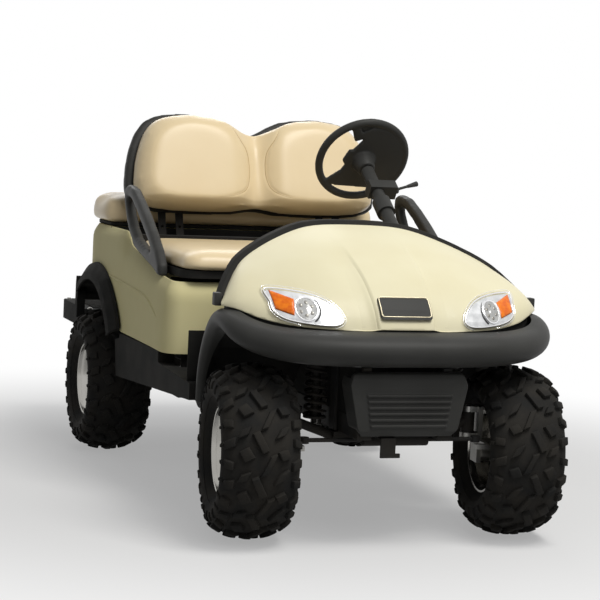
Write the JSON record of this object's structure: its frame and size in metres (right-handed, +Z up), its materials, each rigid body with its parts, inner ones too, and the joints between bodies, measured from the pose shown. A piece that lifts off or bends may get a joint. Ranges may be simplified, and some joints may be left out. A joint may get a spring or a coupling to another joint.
{
  "type": "electric utility cart",
  "caption": "Lifted open electric cart with knobby tyres, beige moulded shell, front bench, rear-facing bench with foot step, steered front wheels and a lift-up seat base",
  "frame": {"origin": "on the ground, in the middle of the cart's length and width", "axes": "front faces -Y, +Z up, the cart's left is +X"},
  "size_m": [1.305, 2.7429, 1.3479],
  "materials": {
    "body_shell": "moulded shell, satin gloss",
    "black_plastic": "grained moulded plastic",
    "seat_vinyl": "stitched seat vinyl",
    "black_metal": "black powder coat",
    "bare_steel": "zinc-plated steel",
    "polished_rim": "polished",
    "tyre_rubber": "matt rubber",
    "lamp_chrome": "bright reflector",
    "amber_lens": "clear amber",
    "red_lens": "clear red",
    "battery_case": "moulded cases"
  },
  "bodies": {
    "chassis": {"frame_rail_left": "black_metal", "frame_rail_right": "black_metal", "cross_members": "black_metal", "floor_pan": "black_plastic", "wheel_liners": "black_plastic", "rockers": "black_plastic", "front_cowl": "body_shell", "dash": "black_plastic", "front_bumper": "black_plastic", "front_cover": "black_plastic", "head_lamps": "lamp_chrome", "turn_lenses": "amber_lens", "front_plate": "black_plastic", "rear_body": "body_shell", "rear_flares": "black_plastic", "seat_hinges": "black_metal", "backrest_cushion": "seat_vinyl", "backrest_shell": "black_plastic", "backrest_bars": "black_metal", "armrests": "black_plastic", "rear_seat_base": "black_plastic", "rear_seat_cushion": "seat_vinyl", "rear_step": "black_plastic", "tail_lamps": "red_lens", "battery_pack": "battery_case", "front_axle": "black_metal", "front_springs": "black_metal", "front_dampers": "bare_steel", "rear_axle": "black_metal", "motor": "black_metal", "rear_springs": "black_metal", "rear_dampers": "bare_steel", "steering_column": "black_plastic", "column_lever": "black_plastic", "pedals": "black_metal", "tow_strap": "black_metal"},
    "seat_lid": {"seat_pan": "black_plastic", "seat_cushion": "seat_vinyl"},
    "steering": {"steering_wheel": "black_plastic"},
    "tie_link": {"tie_rod": "bare_steel"},
    "knuckle_l": {"knuckle_left": "bare_steel"},
    "knuckle_r": {"knuckle_right": "bare_steel"},
    "wheel_front_left": {"rim_front_left": "polished_rim", "tyre_front_left": "tyre_rubber"},
    "wheel_front_right": {"rim_front_right": "polished_rim", "tyre_front_right": "tyre_rubber"},
    "wheel_rear_left": {"rim_rear_left": "polished_rim", "tyre_rear_left": "tyre_rubber"},
    "wheel_rear_right": {"rim_rear_right": "polished_rim", "tyre_rear_right": "tyre_rubber"}
  },
  "joints": [
    {"name": "steer_left", "type": "hinge", "parent": "chassis", "child": "knuckle_l", "pos_m": [0.3, -1.07855, 0.2795], "axis": [0, 0, 1], "range_deg": [-22, 34]},
    {"name": "steer_right", "type": "hinge", "parent": "chassis", "child": "knuckle_r", "pos_m": [-0.3, -1.07855, 0.2795], "axis": [0, 0, 1], "range_deg": [-22, 34]},
    {"name": "steering_wheel_turn", "type": "hinge", "parent": "chassis", "child": "steering", "pos_m": [0.235, -0.15155, 1.198], "axis": [0, 0.829, 0.5592], "range_deg": [-308, 476]},
    {"name": "tie_slide", "type": "slide", "parent": "chassis", "child": "tie_link", "axis": [1, 0, 0], "range_m": [-0.0424, 0.0655]},
    {"name": "seat_lift", "type": "hinge", "parent": "chassis", "child": "seat_lid", "pos_m": [0, -0.47855, 0.77], "axis": [1, 0, 0], "range_deg": [0, 18]},
    {"name": "spin_front_left", "type": "hinge", "parent": "knuckle_l", "child": "wheel_front_left", "pos_m": [0.44222, -1.0935, 0.2795], "axis": [0.9945, -0.1045, 0], "continuous": true},
    {"name": "spin_front_right", "type": "hinge", "parent": "knuckle_r", "child": "wheel_front_right", "pos_m": [-0.44222, -1.0636, 0.2795], "axis": [0.9945, -0.1045, 0], "continuous": true},
    {"name": "spin_rear_left", "type": "hinge", "parent": "chassis", "child": "wheel_rear_left", "pos_m": [0.52, 0.58145, 0.2795], "axis": [1, 0, 0], "continuous": true},
    {"name": "spin_rear_right", "type": "hinge", "parent": "chassis", "child": "wheel_rear_right", "pos_m": [-0.52, 0.58145, 0.2795], "axis": [1, 0, 0], "continuous": true}
  ],
  "couplings": [
    {"joint": "steer_right", "follows": "steer_left", "ratio": 1},
    {"joint": "steering_wheel_turn", "follows": "steer_left", "ratio": 14},
    {"joint": "tie_slide", "follows": "steer_left", "m_per_rad": 0.11}
  ]
}
